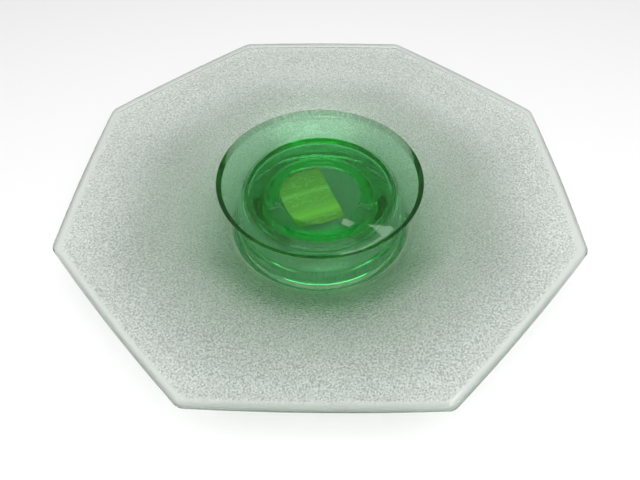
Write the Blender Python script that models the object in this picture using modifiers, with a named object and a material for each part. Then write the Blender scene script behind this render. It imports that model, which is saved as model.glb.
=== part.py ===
"""Chip and dip server in pressed green glass.

An octagonal plate, dished like a shallow bowl, carries a low dip bowl on a wide hollow foot. The
bowl stands loose in a round seat at the plate's centre, and a blank paper label is stuck inside
the bowl's foot, under its floor.

Run with: blender --background --python part.py

Units are metres and +Z is up. The origin is the centre of the plate's foot, on the table. Four of
the plate's eight flats face +X, -X, +Y and -Y. Lengths below are in millimetres, and the meshes
are made from them with MM.
"""

import math

import bmesh
import bpy
from mathutils import Matrix, Vector

MM = 0.001

# Plate, seen from above: an octagon whose sides bow slightly outward
SIDES = 8
HALF_TURN = math.pi / SIDES
PLATE_ACROSS_CORNERS = 304.8
APOTHEM = PLATE_ACROSS_CORNERS / 2 * math.cos(HALF_TURN)
SIDE_BOW = 1.3
CORNER_RADIUS = 5.5
ROUND_WITHIN = 66.0  # inside this radius the plate's sections are circles
OCTAGON_BEYOND = 134.5  # outside this radius they are full octagons

# Plate, in section: a flat seat, a flare that levels out, and a round rim
RIM_TOP = 51.0
RIM_RADIUS = 2.3
SEAT_TOP = 9.0
SEAT_RADIUS = 58.5
FLARE_LENGTH = 24.0  # over this length the flare closes in on the rim's height by a factor of e
FLARE_POWER = 1.1  # above 1, so that the flare bends up from the seat without a corner
FLARE_GLASS = 4.2
FOOT_OUTER = 55.4
FOOT_INNER = 50.2
FOOT_DEPTH = 3.4
FOOT_ROUND = 0.8

# Dip bowl, in section. A loose bowl stands 0.3 mm clear of the seat here, so that they stay apart.
STANDING_GAP = 0.3
BOWL_BASE = SEAT_TOP + STANDING_GAP
FLOOR_TOP = 32.2
ROOF = 27.5  # underside of the well's floor, flat out to ROOF_RADIUS
ROOF_RADIUS = 26.2
ROOF_EDGE = (37.5, 21.5)  # lowest circle of the thick ring of glass round the well
BOWL_CORNERS = [  # (radius, height above the table, fillet radius), from the axis and back to it
    (0.0, FLOOR_TOP, 0.0),
    (25.8, FLOOR_TOP, 0.4),
    (26.5, 32.9, 0.4),
    (35.4, 36.0, 1.0),
    (43.3, 40.3, 1.0),
    (62.8, 48.3, 0.4),  # rim, and the slant under it
    (59.8, 43.8, 0.8),
    (44.2, 37.0, 0.7),  # neck, and the bell-shaped foot below it
    (49.4, 33.0, 5.0),
    (53.6, 20.0, 20.0),
    (55.1, BOWL_BASE, 0.9),
    (51.2, BOWL_BASE, 1.4),
    (50.6, 20.0, 8.0),
    (46.4, 32.0, 1.5),
    (*ROOF_EDGE, 2.0),
    (ROOF_RADIUS, ROOF, 0.5),
    (0.0, ROOF, 0.0),
]

# Paper label
LABEL_WIDTH = 32.0
LABEL_LENGTH = 46.0
LABEL_CORNER = 4.0
LABEL_THICKNESS = 0.2
LABEL_GAP = 0.3
LABEL_CENTRE = (-7.5, -2.0)
LABEL_TURN = 22.0  # degrees about +Z

# Facets
POINTS_PER_SIDE = 5
POINTS_PER_CORNER = 2
FLARE_STEPS = 10
BOWL_STEPS = 48
FILLET_STEPS = 2
LABEL_COLUMNS = 12
LABEL_ROWS = 18
ARC_STEPS = 5


def arc(centre, radius, start, end, steps=ARC_STEPS):
    """Points on a circle, from the start to the end angle in degrees, both included."""
    angles = [math.radians(start + (end - start) * i / steps) for i in range(steps + 1)]
    return [(centre[0] + radius * math.cos(a), centre[1] + radius * math.sin(a)) for a in angles]


def filleted(corners, steps=FILLET_STEPS):
    """The path through the corners, with each one rounded by its own fillet."""
    path = [corners[0][:2]]
    for before, (x, y, radius), after in zip(corners, corners[1:], corners[2:]):
        corner = Vector((x, y))
        back = (Vector(before[:2]) - corner).normalized()
        on = (Vector(after[:2]) - corner).normalized()
        half = back.angle(on) / 2
        centre = corner + (back + on).normalized() * radius / math.sin(half)
        start = corner + back * radius / math.tan(half) - centre
        turn = start.angle_signed(corner + on * radius / math.tan(half) - centre)
        for step in range(steps + 1):
            point = centre + Matrix.Rotation(-turn * step / steps, 2) @ start
            path.append((point.x, point.y))
    return path + [corners[-1][:2]]


def make_material(name, colour, roughness, transmission):
    material = bpy.data.materials.new(name)
    material.use_nodes = True
    shader = material.node_tree.nodes["Principled BSDF"]
    shader.inputs["Base Color"].default_value = (*colour, 1.0)
    shader.inputs["Metallic"].default_value = 0.0
    shader.inputs["Roughness"].default_value = roughness
    shader.inputs["Transmission Weight"].default_value = transmission
    return material


def add_object(name, data, collection, material):
    part = bpy.data.objects.new(name, data)
    data.materials.append(material)
    collection.objects.link(part)
    return part


# ---- plate


def round_angles():
    """Angles of the points round the plate: even along each side, and close at each corner."""
    corner_cut = CORNER_RADIUS * math.tan(HALF_TURN)
    half_side = APOTHEM * math.tan(HALF_TURN) - corner_cut
    side = [half_side * (2 * i / (POINTS_PER_SIDE - 1) - 1) for i in range(POINTS_PER_SIDE)]
    one_side = [math.atan2(along, APOTHEM) for along in side]
    first, gap = one_side[-1], 2 * (HALF_TURN - one_side[-1])
    one_side += [first + gap * i / (POINTS_PER_CORNER + 1) for i in range(1, POINTS_PER_CORNER + 1)]
    return [2 * HALF_TURN * turn + angle for turn in range(SIDES) for angle in one_side]


def octagon_reach(angle, corner):
    """Distance to a round-cornered octagon, with the middle of each side at distance 1.

    The corner radius runs from near 0, a sharp octagon, to 1, a circle.
    """
    off_side = abs((angle + HALF_TURN) % (2 * HALF_TURN) - HALF_TURN)
    if math.tan(off_side) <= (1 - corner) * math.tan(HALF_TURN):
        return 1 / math.cos(off_side)
    centre = (1 - corner) / math.cos(HALF_TURN)
    off_corner = HALF_TURN - off_side
    across = centre * math.sin(off_corner)
    return centre * math.cos(off_corner) + math.sqrt(corner ** 2 - across ** 2)


def section_reach(angle, radius):
    """Stretch of the plate's section at this radius: circles inside, bowed octagons at the rim."""
    share = (radius - ROUND_WITHIN) / (OCTAGON_BEYOND - ROUND_WITHIN)
    share = min(max(share, 0.0), 1.0)
    off_side = (angle + HALF_TURN) % (2 * HALF_TURN) - HALF_TURN
    bow = SIDE_BOW / APOTHEM * (1 - (math.tan(off_side) / math.tan(HALF_TURN)) ** 2)
    corner = 1 + (CORNER_RADIUS / APOTHEM - 1) * share
    return octagon_reach(angle, corner) + share * bow


def flare_height(radius):
    """Height of the plate's upper surface: steepest a little outside the seat, level at the rim."""
    out = (radius - SEAT_RADIUS) / FLARE_LENGTH
    return RIM_TOP - (RIM_TOP - SEAT_TOP) * math.exp(-out ** FLARE_POWER)


def flare_slope(radius):
    out = (radius - SEAT_RADIUS) / FLARE_LENGTH
    return (RIM_TOP - flare_height(radius)) * FLARE_POWER * out ** (FLARE_POWER - 1) / FLARE_LENGTH


def plate_profile():
    """Closed section of the plate, from the centre of the seat round to the centre underneath."""
    first, last = SEAT_RADIUS, OCTAGON_BEYOND
    radii = [first + (last - first) * (i / FLARE_STEPS) ** 1.4 for i in range(FLARE_STEPS + 1)]
    upper = [(r, flare_height(r)) for r in radii]
    rim = arc((APOTHEM - RIM_RADIUS, RIM_TOP - RIM_RADIUS), RIM_RADIUS, 140, -110)
    under = []
    for r in reversed(radii):
        slope = flare_slope(r)
        length = math.hypot(1.0, slope)
        under.append((r + FLARE_GLASS * slope / length, flare_height(r) - FLARE_GLASS / length))
    foot = arc((FOOT_OUTER - FOOT_ROUND, FOOT_ROUND), FOOT_ROUND, 0, -90, 2)
    foot += [(FOOT_INNER + FOOT_ROUND, 0.0), (FOOT_INNER, FOOT_DEPTH), (0.0, FOOT_DEPTH)]
    return [(0.0, SEAT_TOP)] + upper + rim + under + foot


def plate_mesh():
    """Loft of the section round the outline, from circles at the seat to octagons at the rim."""
    mesh = bpy.data.meshes.new("plate")
    shape = bmesh.new()
    rings = []
    for radius, height in plate_profile():
        if radius == 0.0:
            rings.append([shape.verts.new((0.0, 0.0, height * MM))])
            continue
        ring = []
        for angle in round_angles():
            distance = radius * section_reach(angle, radius) * MM
            point = (distance * math.cos(angle), distance * math.sin(angle), height * MM)
            ring.append(shape.verts.new(point))
        rings.append(ring)
    for inner, outer in zip(rings, rings[1:]):
        count = max(len(inner), len(outer))
        for i in range(count):
            after = (i + 1) % count
            if len(inner) == 1:
                shape.faces.new((inner[0], outer[i], outer[after]))
            elif len(outer) == 1:
                shape.faces.new((inner[i], outer[0], inner[after]))
            else:
                shape.faces.new((inner[i], outer[i], outer[after], inner[after]))
    bmesh.ops.recalc_face_normals(shape, faces=shape.faces)
    shape.to_mesh(mesh)
    shape.free()
    mesh.shade_smooth()
    mesh.set_sharp_from_angle(angle=math.radians(40))
    return mesh


def make_plate(collection):
    glass = make_material("pale_green_stippled_glass", (0.70, 0.89, 0.76), 0.12, 1.0)
    return add_object("plate", plate_mesh(), collection, glass)


# ---- dip bowl


def make_dip_bowl(collection):
    profile = filleted(BOWL_CORNERS)
    mesh = bpy.data.meshes.new("dip_bowl")
    vertices = [(radius * MM, 0.0, height * MM) for radius, height in profile]
    edges = [(i, i + 1) for i in range(len(profile) - 1)]
    mesh.from_pydata(vertices, edges, [])
    glass = make_material("green_glass", (0.20, 0.72, 0.36), 0.03, 1.0)
    bowl = add_object("dip_bowl", mesh, collection, glass)
    turn = bowl.modifiers.new("turn", "SCREW")
    turn.axis = "Z"
    turn.steps = BOWL_STEPS
    turn.render_steps = BOWL_STEPS
    turn.use_merge_vertices = True
    turn.merge_threshold = 0.0001
    turn.use_smooth_shade = True
    return bowl


# ---- paper label


def roof_height(radius):
    """Height of the hollow foot's roof, flat in the middle, falling from there to ROOF_EDGE."""
    fall = (ROOF - ROOF_EDGE[1]) / (ROOF_EDGE[0] - ROOF_RADIUS)
    return ROOF - fall * max(radius - ROOF_RADIUS, 0.0)


def round_label_corner(x, y):
    """Draw a point of the label's rectangle in to the label's round corner."""
    over_x = max(abs(x) - (LABEL_WIDTH / 2 - LABEL_CORNER), 0.0)
    over_y = max(abs(y) - (LABEL_LENGTH / 2 - LABEL_CORNER), 0.0)
    over = math.hypot(over_x, over_y)
    if min(over_x, over_y) == 0.0 or over <= LABEL_CORNER:
        return x, y
    excess = 1 - LABEL_CORNER / over
    return x - math.copysign(over_x * excess, x), y - math.copysign(over_y * excess, y)


def make_paper_label(collection):
    """Sheet of paper that follows the roof of the bowl's foot, flat in the middle, bent outside."""
    turn = math.radians(LABEL_TURN)
    shape = bmesh.new()
    bmesh.ops.create_grid(shape, x_segments=LABEL_COLUMNS, y_segments=LABEL_ROWS, size=0.5)
    for vertex in shape.verts:
        x, y = round_label_corner(vertex.co.x * LABEL_WIDTH, vertex.co.y * LABEL_LENGTH)
        along_x = LABEL_CENTRE[0] + x * math.cos(turn) - y * math.sin(turn)
        along_y = LABEL_CENTRE[1] + x * math.sin(turn) + y * math.cos(turn)
        height = roof_height(math.hypot(along_x, along_y)) - LABEL_GAP
        vertex.co = Vector((along_x, along_y, height)) * MM
    mesh = bpy.data.meshes.new("paper_label")
    shape.to_mesh(mesh)
    shape.free()
    paper = make_material("yellow_paper", (0.80, 0.66, 0.12), 0.75, 0.0)
    label = add_object("paper_label", mesh, collection, paper)
    solid = label.modifiers.new("thickness", "SOLIDIFY")
    solid.thickness = LABEL_THICKNESS * MM
    return label


def main():
    for leftover in list(bpy.data.objects):
        bpy.data.objects.remove(leftover, do_unlink=True)
    collection = bpy.data.collections.new("chip_and_dip_server")
    bpy.context.scene.collection.children.link(collection)
    make_plate(collection)
    bowl = make_dip_bowl(collection)
    label = make_paper_label(collection)
    label.parent = bowl


main()
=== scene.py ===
"""Looks of the chip and dip server: stippled plate glass, clear green bowl glass, blank paper label.

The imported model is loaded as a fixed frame. Three finer pieces are built in its coordinates and
stand for its three nodes. The object's own lengths are in millimetres, and MM makes them metres.
The materials, the lamps and the camera's place are in metres, and angles are in degrees.
"""

import math

import bmesh
import bpy
from mathutils import Matrix, Vector


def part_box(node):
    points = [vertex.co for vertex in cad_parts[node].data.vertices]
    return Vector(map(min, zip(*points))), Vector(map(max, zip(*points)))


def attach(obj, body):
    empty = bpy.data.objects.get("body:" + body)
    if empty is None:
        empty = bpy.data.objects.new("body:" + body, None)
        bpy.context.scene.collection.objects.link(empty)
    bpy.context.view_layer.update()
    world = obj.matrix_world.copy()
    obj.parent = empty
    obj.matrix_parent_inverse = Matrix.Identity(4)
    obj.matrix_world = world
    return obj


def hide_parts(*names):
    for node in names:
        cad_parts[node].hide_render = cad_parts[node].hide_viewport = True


MM = 0.001

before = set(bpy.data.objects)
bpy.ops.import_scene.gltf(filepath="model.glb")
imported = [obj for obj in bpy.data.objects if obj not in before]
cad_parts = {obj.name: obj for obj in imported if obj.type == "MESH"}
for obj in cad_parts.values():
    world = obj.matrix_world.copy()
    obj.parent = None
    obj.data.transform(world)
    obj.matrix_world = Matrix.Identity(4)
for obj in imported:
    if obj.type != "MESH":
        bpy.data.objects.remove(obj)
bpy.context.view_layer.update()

plate_high = Vector(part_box("plate")[1]) / MM
bowl_low = Vector(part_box("dip_bowl")[0]) / MM

# Plate, seen from above: an octagon whose sides bow slightly outward
SIDES = 8
HALF_TURN = math.pi / SIDES  # from the middle of a side to its corner, in radians
SIDE_BOW = 1.3
APOTHEM = plate_high.x - SIDE_BOW
CORNER_RADIUS = 5.5
ROUND_WITHIN = 66.0  # the plate is round inside this radius
OCTAGON_BEYOND = 134.5  # and a full octagon outside this one
SIDE_GAPS = 28  # mesh faces along each side
CORNER_POINTS = 7  # mesh points between one side and the next

# Plate, in section
RIM_TOP = plate_high.z
RIM_RADIUS = 2.3
RIM_START = 135  # the rim's arc goes over the top, from this angle to the next
RIM_END = -110
RIM_STEPS = 16
COVE_STEPS = 6  # steps of the curve from the flare into the rim
SEAT_GAP = 0.3  # between the plate's seat and the bowl that stands on it
SEAT_TOP = bowl_low.z - SEAT_GAP
SEAT_RADIUS = 58.5
FLAT_RINGS = range(0, 56, 4)  # radii of the mesh rings on the flat middle, above and below
FLARE_LENGTH = 24.0
FLARE_POWER = 1.1
FLARE_GLASS = 4.2
FLARE_STEPS = 50
FLARE_CROWDING = 1.6  # above 1, the mesh rings crowd towards the seat
FOOT_OUTER = 55.4
FOOT_INNER = 50.2
FOOT_DEPTH = 3.4
FOOT_ROUND = 0.8
FOOT_STEPS = 6

# Stipple pressed into the plate
SMOOTH_BAND = 5.0  # width of the clear, un-stippled band inside the rim
BAND_EDGE = 2.0  # width over which the stipple comes in, centred on the band's inner edge
STIPPLE_ABOVE = 0.5  # the upper surface's share of the stipple's depth
STIPPLE_DEEP = 120.0  # the stipple has its full depth outside this radius
STIPPLE_FADE = 0.5  # and has lost this share of it at the seat

# Dip bowl, in section: corners as (radius, height, fillet radius), from the axis and back to it
BOWL_BASE = bowl_low.z
FLOOR_TOP = 32.2
ROOF = 27.5
ROOF_RADIUS = 26.2
ROOF_EDGE = (37.5, 21.5)
BOWL_CORNERS = [
    (0.0, FLOOR_TOP, 0.0),
    (25.8, FLOOR_TOP, 0.4),
    (26.5, 32.9, 0.4),
    (35.4, 36.0, 1.0),
    (43.3, 40.3, 1.0),
    (62.8, 48.3, 0.4),
    (59.8, 43.8, 0.8),
    (44.2, 37.0, 0.7),
    (49.4, 33.0, 5.0),
    (53.6, 20.0, 20.0),
    (55.1, BOWL_BASE, 0.9),
    (51.2, BOWL_BASE, 1.4),
    (50.6, 20.0, 8.0),
    (46.4, 32.0, 1.5),
    (*ROOF_EDGE, 2.0),
    (ROOF_RADIUS, ROOF, 0.5),
    (0.0, ROOF, 0.0),
]
BOWL_POINTS = 240  # mesh points round each ring
BOWL_SPACING = 4.0  # and about how far apart the rings are, on straight runs

# Paper label
LABEL_WIDTH = 32.0
LABEL_LENGTH = 46.0
LABEL_CORNER = 4.0
LABEL_TURN = 22.0
LABEL_CENTRE = (-7.5, -2.0)
LABEL_GAP = 0.4
LABEL_THICKNESS = 0.15
LABEL_COLUMNS = 64
LABEL_ROWS = 92

# Glasses: the colour that each lets through, and how fast it takes the rest of the light away
WHITE = (1.0, 1.0, 1.0, 1.0)
GLASS_IOR = 1.52
PLATE_COLOUR = (0.48, 0.86, 0.50)
PLATE_DENSITY = 32.0
PLATE_ROUGHNESS = 0.05
BOWL_COLOUR = (0.03, 0.87, 0.33)
BOWL_DENSITY = 135.0
BOWL_ROUGHNESS = 0.0
RIPPLE_SCALE = 60.0
RIPPLE_DETAIL = 1.0
RIPPLE_HEIGHT = 0.0002

# Grain of the stipple, and the light that its darkest and palest spots let through
GRAIN_SCALE = 1100.0
GRAIN_DETAIL = 1.5
GRAIN_ROUGHNESS = 0.55
GRAIN_HEIGHT = 0.0003
GRAIN_RANGE = (0.35, 0.65)
GRAIN_TONES = (0.34, 1.0)
PAINTED_FOOT_SHADE = (0.80, 1.0, 0.82, 1.0)  # painted shade: a darker green on the plate's underside beside its foot, for the green shade round the bowl's base
NOISE_MIDDLE = 0.5  # middle of the range of any noise

# Label paper: tones along it, as (share of its length, colour), and thin pale lines along its
# creases, painted highlights where the paper stands off the glass
PAPER_ROUGHNESS = 0.6
PAPER_TONES = [
    (0.10, (0.34, 0.42, 0.05, 1.0)),
    (0.22, (0.60, 0.78, 0.10, 1.0)),
    (0.36, (0.40, 0.54, 0.08, 1.0)),
    (0.56, (0.38, 0.52, 0.08, 1.0)),
    (0.62, (0.56, 0.70, 0.16, 1.0)),
    (0.68, (0.34, 0.47, 0.07, 1.0)),
    (0.90, (0.30, 0.42, 0.06, 1.0)),
]
CREASE_HIGHLIGHT_COLOUR = (0.62, 0.85, 0.40, 1.0)
CREASE_STRETCH = (0.6, 1.9, 1.0)
CREASE_SCALE = 130.0
CREASE_DETAIL = 1.5
CREASE_DISTORTION = 1.2
CREASE_HALF_WIDTH = 0.035
CREASE_HIGHLIGHT_STRENGTH = 0.55

# Floor, world and lamps
FLOOR_GAP = 0.3  # millimetres between the floor and the plate's foot, which let light in
FLOOR_REACH = 20.0  # metres from the floor's middle to its edges
FLOOR_WHITE = (0.92, 0.92, 0.92, 1.0)
FLOOR_ROUGHNESS = 0.7
SKY_HEIGHTS = (0.0, 0.9)  # as sines of the elevation
SKY_STRENGTHS = (0.18, 0.4)
LAMP_DISTANCE = 1.5
KEY_DIRECTION = (0.05, -0.45, 0.87)
KEY_SIZE = (1.8, 1.8)
KEY_POWER = 30.0
WINDOW_DIRECTION = (-0.1, 0.95, 0.32)
WINDOW_SIZE = (0.2, 0.11)
WINDOW_POWER = 0.13
LIGHT_BOUNCES = 24
GLOSSY_BOUNCES = 12

# Camera, at the photograph's viewing angle
CAMERA_DISTANCE = 0.2866
CAMERA_ELEVATION = 43.94
CAMERA_AZIMUTH = 1.09
CAMERA_HEADING = 1.16
CAMERA_LOOK_DOWN = 52.29
CAMERA_ROLL = -0.56
CAMERA_LENS = 26.75  # millimetres


def clamped(value):
    """The value, held between 0 and 1."""
    return min(max(value, 0.0), 1.0)


def arc(centre, radius, start, end, steps):
    """Points on a circle, from the start to the end angle in degrees, both included."""
    angles = [math.radians(start + (end - start) * i / steps) for i in range(steps + 1)]
    return [(centre[0] + radius * math.cos(a), centre[1] + radius * math.sin(a)) for a in angles]


def smooth_run(points, steps):
    """A Catmull-Rom curve through the points, both ends included."""
    ends = [points[0]] + points + [points[-1]]
    run = []
    for before, start, end, after in zip(ends, ends[1:], ends[2:], ends[3:]):
        for step in range(steps):
            t = step / steps
            run.append(tuple(
                0.5 * (2 * b + (c - a) * t + (2 * a - 5 * b + 4 * c - d) * t ** 2
                       + (3 * b - a - 3 * c + d) * t ** 3)
                for a, b, c, d in zip(before, start, end, after)
            ))
    return run + [points[-1]]


def new_mesh(name, shape):
    """Mesh data of this name from a bmesh, which is freed."""
    mesh = bpy.data.meshes.new(name)
    shape.to_mesh(mesh)
    shape.free()
    return mesh


def loft(name, section, angles, reach):
    """Closed mesh round +Z. section holds (radius, height) from the axis over and back to it.

    Each ring has a point at each of the angles, and reach(angle, radius) stretches it there.
    """
    shape = bmesh.new()
    rings = []
    for radius, height in section:
        if radius == 0.0:
            rings.append([shape.verts.new((0.0, 0.0, height * MM))])
            continue
        ring = []
        for angle in angles:
            distance = radius * reach(angle, radius) * MM
            point = (distance * math.cos(angle), distance * math.sin(angle), height * MM)
            ring.append(shape.verts.new(point))
        rings.append(ring)
    for inner, outer in zip(rings, rings[1:]):
        count = max(len(inner), len(outer))
        for i in range(count):
            after = (i + 1) % count
            if len(inner) == 1:
                shape.faces.new((inner[0], outer[i], outer[after]))
            elif len(outer) == 1:
                shape.faces.new((inner[i], outer[0], inner[after]))
            else:
                shape.faces.new((inner[i], outer[i], outer[after], inner[after]))
    bmesh.ops.recalc_face_normals(shape, faces=shape.faces)
    mesh = new_mesh(name, shape)
    mesh.shade_smooth()
    return mesh


def add_piece(name, mesh, material):
    """Object of this name in the scene, with its mesh and material."""
    piece = bpy.data.objects.new(name, mesh)
    bpy.context.scene.collection.objects.link(piece)
    mesh.materials.append(material)
    return piece


# ---- shader nodes: feed() sets a socket, and each other function adds a node, returning its output


def feed(tree, value, socket):
    """Give a socket its value: another node's output, or a number, vector or colour."""
    if isinstance(value, bpy.types.NodeSocket):
        tree.links.new(value, socket)
    else:
        socket.default_value = value


def coordinates(tree, kind):
    return tree.nodes.new("ShaderNodeTexCoord").outputs[kind]


def mapped(tree, vector, setting, value):
    """The vector after a mapping with its Rotation or its Scale set."""
    node = tree.nodes.new("ShaderNodeMapping")
    feed(tree, vector, node.inputs["Vector"])
    feed(tree, value, node.inputs[setting])
    return node.outputs["Vector"]


def along_axis(tree, vector, axis):
    node = tree.nodes.new("ShaderNodeSeparateXYZ")
    feed(tree, vector, node.inputs["Vector"])
    return node.outputs[axis]


def stored(tree, name):
    """What the mesh stores at its points under this name."""
    node = tree.nodes.new("ShaderNodeAttribute")
    node.attribute_name = name
    return node.outputs["Fac"]


def noise(tree, vector, **settings):
    node = tree.nodes.new("ShaderNodeTexNoise")
    feed(tree, vector, node.inputs["Vector"])
    for name, value in settings.items():
        feed(tree, value, node.inputs[name])
    return node.outputs["Fac"]


def worked_out(tree, operation, *values, clamp=False):
    node = tree.nodes.new("ShaderNodeMath")
    node.operation = operation
    node.use_clamp = clamp
    for value, socket in zip(values, node.inputs):
        feed(tree, value, socket)
    return node.outputs["Value"]


def ranged(tree, value, before, after):
    """The value taken from one range to another, and held at its ends."""
    node = tree.nodes.new("ShaderNodeMapRange")
    feed(tree, value, node.inputs["Value"])
    feed(tree, before[0], node.inputs["From Min"])
    feed(tree, before[1], node.inputs["From Max"])
    feed(tree, after[0], node.inputs["To Min"])
    feed(tree, after[1], node.inputs["To Max"])
    return node.outputs["Result"]


def mixed(tree, share, first, second, data_type="FLOAT", blend_type="MIX"):
    node = tree.nodes.new("ShaderNodeMix")
    node.data_type = data_type
    node.blend_type = blend_type
    feed(tree, share, node.inputs["Factor"])
    feed(tree, first, node.inputs["A"])
    feed(tree, second, node.inputs["B"])
    return node.outputs["Result"]


def toned(tree, value, tones):
    """Colour ramp through the tones, which are (position, colour) in order."""
    node = tree.nodes.new("ShaderNodeValToRGB")
    feed(tree, value, node.inputs["Fac"])
    stops = node.color_ramp.elements
    first, *between, last = tones
    stops[0].position, stops[0].color = first
    stops[1].position, stops[1].color = last
    for position, colour in between:
        stops.new(position).color = colour
    return node.outputs["Color"]


def bumped(tree, height, distance):
    node = tree.nodes.new("ShaderNodeBump")
    feed(tree, 1.0, node.inputs["Strength"])
    feed(tree, distance, node.inputs["Distance"])
    feed(tree, height, node.inputs["Height"])
    return node.outputs["Normal"]


# ---- materials


def new_material(name):
    """A new material, its node tree and its shader."""
    material = bpy.data.materials.new(name)
    material.use_nodes = True
    tree = material.node_tree
    return material, tree, tree.nodes["Principled BSDF"]


def make_glass(name, colour, density, roughness):
    """Clear glass that colours light by its thickness."""
    material, tree, shader = new_material(name)
    feed(tree, WHITE, shader.inputs["Base Color"])
    feed(tree, roughness, shader.inputs["Roughness"])
    feed(tree, GLASS_IOR, shader.inputs["IOR"])
    feed(tree, 1.0, shader.inputs["Transmission Weight"])
    volume = tree.nodes.new("ShaderNodeVolumeAbsorption")
    feed(tree, (*colour, 1.0), volume.inputs["Color"])
    feed(tree, density, volume.inputs["Density"])
    feed(tree, volume.outputs["Volume"], tree.nodes["Material Output"].inputs["Volume"])
    return material, tree, shader


def plate_glass():
    """Pale green glass with a fine pressed grain, which is also a speckled tone underneath, and
    painted green shade beside its foot.
    """
    material, tree, shader = make_glass(
        "plate_glass", PLATE_COLOUR, PLATE_DENSITY, PLATE_ROUGHNESS
    )
    place = coordinates(tree, "Object")
    grain = noise(tree, place, Scale=GRAIN_SCALE, Detail=GRAIN_DETAIL, Roughness=GRAIN_ROUGHNESS)
    stipple = stored(tree, "stipple")
    within_rim = worked_out(tree, "DIVIDE", stipple, 1.0 - STIPPLE_FADE, clamp=True)
    # The clear band at the rim has one even tone, the grain's middle one
    even_rim = mixed(tree, within_rim, NOISE_MIDDLE, grain)
    tone = ranged(tree, even_rim, GRAIN_RANGE, GRAIN_TONES)
    speckled = mixed(tree, stored(tree, "underside"), 1.0, tone)
    # Painted shade: the underside turns a darker green towards the foot, for the green shade round
    # the bowl's base
    painted_foot_shade = stored(tree, "painted_foot_shade")
    foot_shaded = mixed(tree, painted_foot_shade, speckled, PAINTED_FOOT_SHADE, "RGBA", "MULTIPLY")
    feed(tree, foot_shaded, shader.inputs["Base Color"])
    height = worked_out(tree, "MULTIPLY", grain, stipple)
    feed(tree, bumped(tree, height, GRAIN_HEIGHT), shader.inputs["Normal"])
    return material


def bowl_glass():
    """Deeper green glass with the slight waves of a pressed surface."""
    material, tree, shader = make_glass("bowl_glass", BOWL_COLOUR, BOWL_DENSITY, BOWL_ROUGHNESS)
    ripple = noise(tree, coordinates(tree, "Object"), Scale=RIPPLE_SCALE, Detail=RIPPLE_DETAIL)
    feed(tree, bumped(tree, ripple, RIPPLE_HEIGHT), shader.inputs["Normal"])
    return material


def label_paper():
    """Yellow paper, seen through the glass that it is stuck to, with thin pale lines painted as
    highlights along its creases.
    """
    material, tree, shader = new_material("label_paper")
    feed(tree, PAPER_ROUGHNESS, shader.inputs["Roughness"])
    rotation = (0.0, 0.0, math.radians(-LABEL_TURN))
    turned = mapped(tree, coordinates(tree, "Object"), "Rotation", rotation)
    length = (-LABEL_LENGTH / 2 * MM, LABEL_LENGTH / 2 * MM)
    share = ranged(tree, along_axis(tree, turned, "Y"), length, (0.0, 1.0))
    stretched = mapped(tree, turned, "Scale", CREASE_STRETCH)
    crease = noise(
        tree, stretched, Scale=CREASE_SCALE, Detail=CREASE_DETAIL, Distortion=CREASE_DISTORTION
    )
    off_line = worked_out(tree, "ABSOLUTE", worked_out(tree, "SUBTRACT", crease, NOISE_MIDDLE))
    # Painted highlight: thin pale lines along the creases, where the paper stands off the glass
    line = ranged(tree, off_line, (0.0, CREASE_HALF_WIDTH), (CREASE_HIGHLIGHT_STRENGTH, 0.0))
    colour = mixed(tree, line, toned(tree, share, PAPER_TONES), CREASE_HIGHLIGHT_COLOUR, "RGBA")
    feed(tree, colour, shader.inputs["Base Color"])
    return material


# ---- plate


def plate_angles():
    """Angles of the points round the plate: even along each side, and close at each corner."""
    corner_cut = CORNER_RADIUS * math.tan(HALF_TURN)
    half_side = APOTHEM * math.tan(HALF_TURN) - corner_cut
    places = [half_side * (2 * i / SIDE_GAPS - 1) for i in range(SIDE_GAPS + 1)]
    one_side = [math.atan2(place, APOTHEM) for place in places]
    first, gap = one_side[-1], 2 * (HALF_TURN - one_side[-1])
    one_side += [first + gap * i / (CORNER_POINTS + 1) for i in range(1, CORNER_POINTS + 1)]
    return [2 * HALF_TURN * turn + angle for turn in range(SIDES) for angle in one_side]


def octagon_reach(angle, corner):
    """Distance to a round-cornered octagon, with the middle of each side at distance 1."""
    off_side = abs((angle + HALF_TURN) % (2 * HALF_TURN) - HALF_TURN)
    if math.tan(off_side) <= (1 - corner) * math.tan(HALF_TURN):
        return 1 / math.cos(off_side)
    centre = (1 - corner) / math.cos(HALF_TURN)
    off_corner = HALF_TURN - off_side
    across = centre * math.sin(off_corner)
    return centre * math.cos(off_corner) + math.sqrt(corner ** 2 - across ** 2)


def plate_reach(angle, radius):
    """Stretch of the plate's section at this radius: circles inside, bowed octagons at the rim."""
    share = clamped((radius - ROUND_WITHIN) / (OCTAGON_BEYOND - ROUND_WITHIN))
    off_side = (angle + HALF_TURN) % (2 * HALF_TURN) - HALF_TURN
    bow = SIDE_BOW / APOTHEM * (1 - (math.tan(off_side) / math.tan(HALF_TURN)) ** 2)
    corner = 1 + (CORNER_RADIUS / APOTHEM - 1) * share
    return octagon_reach(angle, corner) + share * bow


def flare_height(radius):
    """Height of the plate's upper surface: steepest a little outside the seat, level at the rim."""
    out = (radius - SEAT_RADIUS) / FLARE_LENGTH
    return RIM_TOP - (RIM_TOP - SEAT_TOP) * math.exp(-out ** FLARE_POWER)


def flare_slope(radius):
    """Rise of the plate's upper surface for each millimetre outwards."""
    out = (radius - SEAT_RADIUS) / FLARE_LENGTH
    return (RIM_TOP - flare_height(radius)) * FLARE_POWER * out ** (FLARE_POWER - 1) / FLARE_LENGTH


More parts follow.
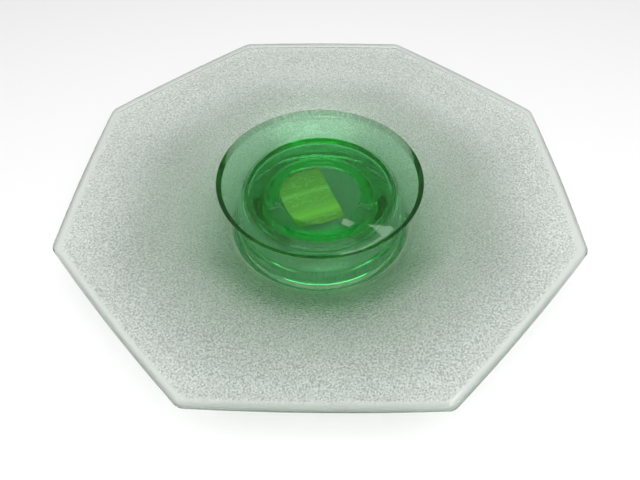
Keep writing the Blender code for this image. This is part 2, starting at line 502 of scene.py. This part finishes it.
def plate_section():
    """The plate's section: flat seat, flare, rim, flare's underside, foot ring and its inside."""
    seat = [(float(radius), SEAT_TOP) for radius in FLAT_RINGS]
    shares = [(i / FLARE_STEPS) ** FLARE_CROWDING for i in range(FLARE_STEPS + 1)]
    radii = [SEAT_RADIUS + (OCTAGON_BEYOND - SEAT_RADIUS) * share for share in shares]
    upper = [(r, flare_height(r)) for r in radii]
    rim_centre = (APOTHEM - RIM_RADIUS, RIM_TOP - RIM_RADIUS)
    rim = arc(rim_centre, RIM_RADIUS, RIM_START, RIM_END, RIM_STEPS)
    cove = smooth_run([*upper[-2:], *rim[:2]], COVE_STEPS)[COVE_STEPS:-COVE_STEPS]
    under = []
    for r in reversed(radii):
        slope = flare_slope(r)
        length = math.hypot(1.0, slope)
        under.append((r + FLARE_GLASS * slope / length, flare_height(r) - FLARE_GLASS / length))
    foot = arc((FOOT_OUTER - FOOT_ROUND, FOOT_ROUND), FOOT_ROUND, 0, -90, FOOT_STEPS)
    foot += [(FOOT_INNER + FOOT_ROUND, 0.0), (FOOT_INNER, FOOT_DEPTH)]
    foot += [(float(radius), FOOT_DEPTH) for radius in reversed(FLAT_RINGS) if radius < FOOT_INNER]
    return seat + upper + cove + rim + under + foot


def stipple_values(vertex):
    """What the plate's mesh stores at a point for its material."""
    radius = math.hypot(vertex.co.x, vertex.co.y) / MM
    angle = math.atan2(vertex.co.y, vertex.co.x)
    inside = APOTHEM - radius / plate_reach(angle, APOTHEM)
    past_band = clamped((inside - SMOOTH_BAND) / BAND_EDGE + 0.5)
    inner = clamped((STIPPLE_DEEP - radius) / (STIPPLE_DEEP - SEAT_RADIUS))
    depth = 1.0 - STIPPLE_FADE * inner
    if vertex.normal.z < 0.0:
        # The underside also stores the painted shade beside the foot, full at the seat and gone at
        # STIPPLE_DEEP
        return {"stipple": depth * past_band, "underside": depth, "painted_foot_shade": inner}
    return {"stipple": depth * past_band * STIPPLE_ABOVE, "underside": 0.0, "painted_foot_shade": 0.0}


def make_plate():
    """Stippled plate, whose mesh stores what its material reads."""
    mesh = loft("plate_glass", plate_section(), plate_angles(), plate_reach)
    values = [stipple_values(vertex) for vertex in mesh.vertices]
    for name in values[0]:
        attribute = mesh.attributes.new(name, "FLOAT", "POINT")
        attribute.data.foreach_set("value", [value[name] for value in values])
    plate = add_piece("plate_glass", mesh, plate_glass())
    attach(plate, "plate")
    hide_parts("plate")


# ---- dip bowl


def filleted(corners, steps=8):
    """The path through the corners, with each one rounded by its own fillet."""
    path = [corners[0][:2]]
    for before, (x, y, radius), after in zip(corners, corners[1:], corners[2:]):
        corner = Vector((x, y))
        back = (Vector(before[:2]) - corner).normalized()
        on = (Vector(after[:2]) - corner).normalized()
        half = back.angle(on) / 2
        bisector = (back + on).normalized()
        centre = corner + bisector * radius / math.sin(half)
        start = corner + back * radius / math.tan(half) - centre
        turn = start.angle_signed(corner + on * radius / math.tan(half) - centre)
        for step in range(steps + 1):
            point = centre + Matrix.Rotation(-turn * step / steps, 2) @ start
            path.append((point.x, point.y))
    return path + [corners[-1][:2]]


def cut_up(path, spacing):
    """The path with its long straight runs cut up, so that the mesh has no long thin faces."""
    dense = [path[0]]
    for start, end in zip(path, path[1:]):
        pieces = max(1, round(math.dist(start, end) / spacing))
        for piece in range(1, pieces + 1):
            share = piece / pieces
            dense.append((
                start[0] + (end[0] - start[0]) * share, start[1] + (end[1] - start[1]) * share
            ))
    return dense


def make_dip_bowl():
    """Dip bowl and its hollow foot, turned in one piece."""
    angles = [2 * math.pi * i / BOWL_POINTS for i in range(BOWL_POINTS)]
    section = cut_up(filleted(BOWL_CORNERS), BOWL_SPACING)
    mesh = loft("bowl_glass", section, angles, lambda angle, radius: 1.0)
    bowl = add_piece("bowl_glass", mesh, bowl_glass())
    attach(bowl, "dip_bowl")
    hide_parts("dip_bowl")


# ---- paper label


def roof_height(radius):
    """Height of the hollow foot's roof, which falls away outside its flat middle."""
    fall = (ROOF - ROOF_EDGE[1]) / (ROOF_EDGE[0] - ROOF_RADIUS)
    return ROOF - fall * max(radius - ROOF_RADIUS, 0.0)


def within_corner(x, y):
    """The point, drawn in to the label's outline where it lies outside a rounded corner."""
    over_x = max(abs(x) - (LABEL_WIDTH / 2 - LABEL_CORNER), 0.0)
    over_y = max(abs(y) - (LABEL_LENGTH / 2 - LABEL_CORNER), 0.0)
    over = math.hypot(over_x, over_y)
    if over_x and over_y and over > LABEL_CORNER:
        x -= math.copysign(over_x * (1 - LABEL_CORNER / over), x)
        y -= math.copysign(over_y * (1 - LABEL_CORNER / over), y)
    return x, y


def make_label():
    """Thin sheet that follows the roof of the bowl's hollow foot."""
    turn = math.radians(LABEL_TURN)
    shape = bmesh.new()
    # The grid is one unit across, and its points are then taken to their places on the roof
    bmesh.ops.create_grid(shape, x_segments=LABEL_COLUMNS, y_segments=LABEL_ROWS, size=0.5)
    for vertex in shape.verts:
        x, y = within_corner(vertex.co.x * LABEL_WIDTH, vertex.co.y * LABEL_LENGTH)
        flat_x = LABEL_CENTRE[0] + x * math.cos(turn) - y * math.sin(turn)
        flat_y = LABEL_CENTRE[1] + x * math.sin(turn) + y * math.cos(turn)
        height = roof_height(math.hypot(flat_x, flat_y)) - LABEL_GAP
        vertex.co = Vector((flat_x, flat_y, height)) * MM
    mesh = new_mesh("label_paper", shape)
    mesh.shade_smooth()
    label = add_piece("label_paper", mesh, label_paper())
    solid = label.modifiers.new("thickness", "SOLIDIFY")
    solid.thickness = LABEL_THICKNESS * MM
    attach(label, "dip_bowl")
    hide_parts("paper_label")


# ---- stage


def make_floor():
    """Plain pale floor, just under the plate."""
    shape = bmesh.new()
    bmesh.ops.create_grid(shape, x_segments=1, y_segments=1, size=FLOOR_REACH)
    mesh = new_mesh("floor", shape)
    material, tree, shader = new_material("floor_white")
    feed(tree, FLOOR_WHITE, shader.inputs["Base Color"])
    feed(tree, FLOOR_ROUGHNESS, shader.inputs["Roughness"])
    floor = add_piece("floor", mesh, material)
    floor.location.z = -FLOOR_GAP * MM


def make_world():
    """Soft white sky, brightest overhead."""
    world = bpy.data.worlds.new("studio")
    world.use_nodes = True
    tree = world.node_tree
    background = tree.nodes["Background"]
    feed(tree, WHITE, background.inputs["Color"])
    height = along_axis(tree, coordinates(tree, "Generated"), "Z")
    feed(tree, ranged(tree, height, SKY_HEIGHTS, SKY_STRENGTHS), background.inputs["Strength"])
    bpy.context.scene.world = world


def make_softbox(name, direction, size, power):
    """Rectangular lamp that stands off in this direction and faces the object."""
    light = bpy.data.lights.new(name, "AREA")
    light.shape = "RECTANGLE"
    light.size, light.size_y = size
    light.energy = power
    lamp = bpy.data.objects.new(name, light)
    bpy.context.scene.collection.objects.link(lamp)
    lamp.location = Vector(direction).normalized() * LAMP_DISTANCE
    lamp.rotation_euler = (-lamp.location).to_track_quat("-Z", "Y").to_euler()
    return lamp


def make_camera():
    """Camera at the photograph's viewing angle, aimed just in front of the bowl."""
    camera = bpy.data.objects.new("camera", bpy.data.cameras.new("camera"))
    bpy.context.scene.collection.objects.link(camera)
    camera.data.lens = CAMERA_LENS
    elevation = math.radians(CAMERA_ELEVATION)
    azimuth = math.radians(CAMERA_AZIMUTH)
    back = CAMERA_DISTANCE * math.cos(elevation)
    up = CAMERA_DISTANCE * math.sin(elevation) + RIM_TOP * MM
    location = Vector((back * math.sin(azimuth), -back * math.cos(azimuth), up))
    turn = (
        Matrix.Rotation(math.radians(CAMERA_HEADING), 4, "Z")
        @ Matrix.Rotation(math.radians(90 - CAMERA_LOOK_DOWN), 4, "X")
        @ Matrix.Rotation(math.radians(CAMERA_ROLL), 4, "Z")
    )
    camera.matrix_world = Matrix.Translation(location) @ turn
    bpy.context.scene.camera = camera


def set_light_paths():
    """Enough bounces for light to get through both glasses, and plain display colours."""
    scene = bpy.context.scene
    scene.view_settings.view_transform = "Standard"
    scene.cycles.max_bounces = LIGHT_BOUNCES
    scene.cycles.transmission_bounces = LIGHT_BOUNCES
    scene.cycles.glossy_bounces = GLOSSY_BOUNCES


make_plate()
make_dip_bowl()
make_label()
make_floor()
make_world()
key = make_softbox("key_softbox", KEY_DIRECTION, KEY_SIZE, KEY_POWER)
# The key lights the floor and the glass, but has no white reflections of its own in the glass
key.visible_glossy = False
make_softbox("back_window", WINDOW_DIRECTION, WINDOW_SIZE, WINDOW_POWER)
make_camera()
set_light_paths()
